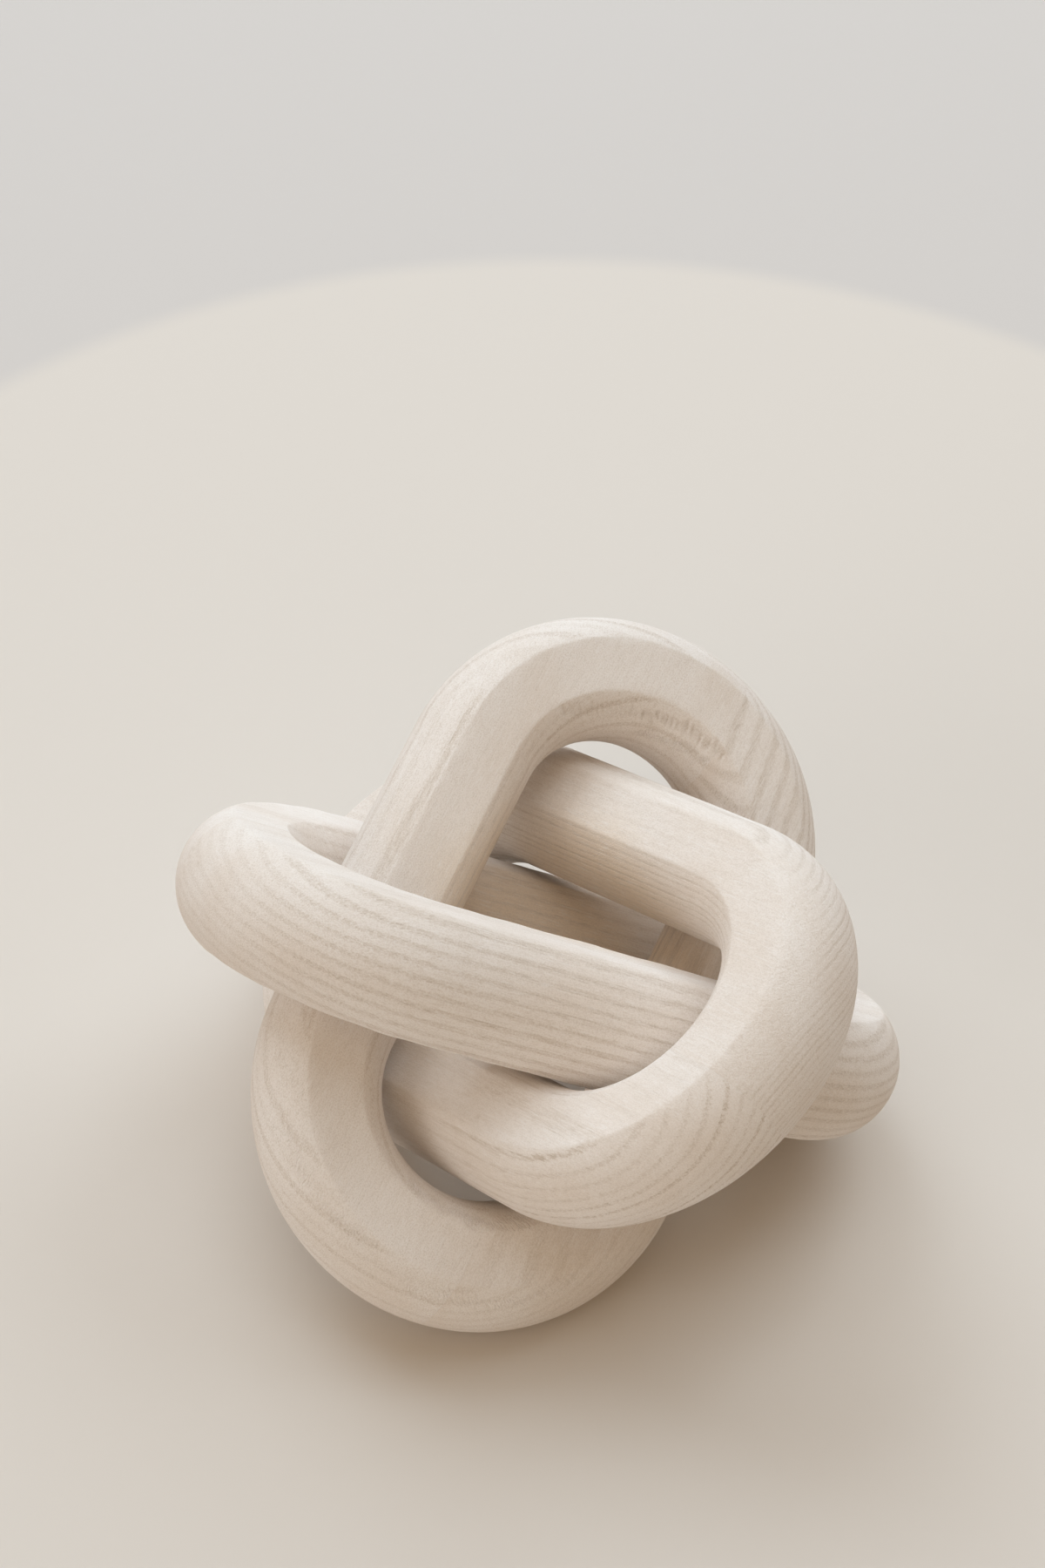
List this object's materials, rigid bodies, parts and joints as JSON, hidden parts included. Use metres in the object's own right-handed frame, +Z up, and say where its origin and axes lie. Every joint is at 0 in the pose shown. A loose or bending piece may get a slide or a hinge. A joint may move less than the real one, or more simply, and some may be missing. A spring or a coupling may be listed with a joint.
{
  "type": "knot sculpture",
  "caption": "Wooden knot ornament of three equal slotted rings, each glued up from two boards, linked like Borromean rings and standing on three round ends.",
  "frame": {"origin": "on the table, under the middle of the knot's bounding box", "axes": "+Z up from the table, the front of the knot to -Y, +X to the right as seen from the front"},
  "size_m": [0.1722, 0.1606, 0.1042],
  "materials": {
    "pale_wood": "bleached, sanded, unlacquered and matt"
  },
  "bodies": {
    "tall_ring": {"tall_ring_high": "pale_wood", "tall_ring_low": "pale_wood"},
    "front_ring": {"front_ring_high": "pale_wood", "front_ring_low": "pale_wood"},
    "right_ring": {"right_ring_high": "pale_wood", "right_ring_low": "pale_wood"}
  },
  "joints": [
    {"name": "front_ring_rock", "type": "hinge", "parent": "tall_ring", "child": "front_ring", "pos_m": [0, -0.00134, 0.05188], "axis": [-0.973, 0.2112, -0.0928], "range_deg": [0, 45]},
    {"name": "right_ring_rock", "type": "hinge", "parent": "tall_ring", "child": "right_ring", "pos_m": [0.00062, -0.00153, 0.05188], "axis": [-0.6096, -0.7927, 0.0052], "range_deg": [0, 46.3]}
  ],
  "couplings": [
    {"joint": "right_ring_rock", "follows": "front_ring_rock", "ratio": 1.0274}
  ]
}
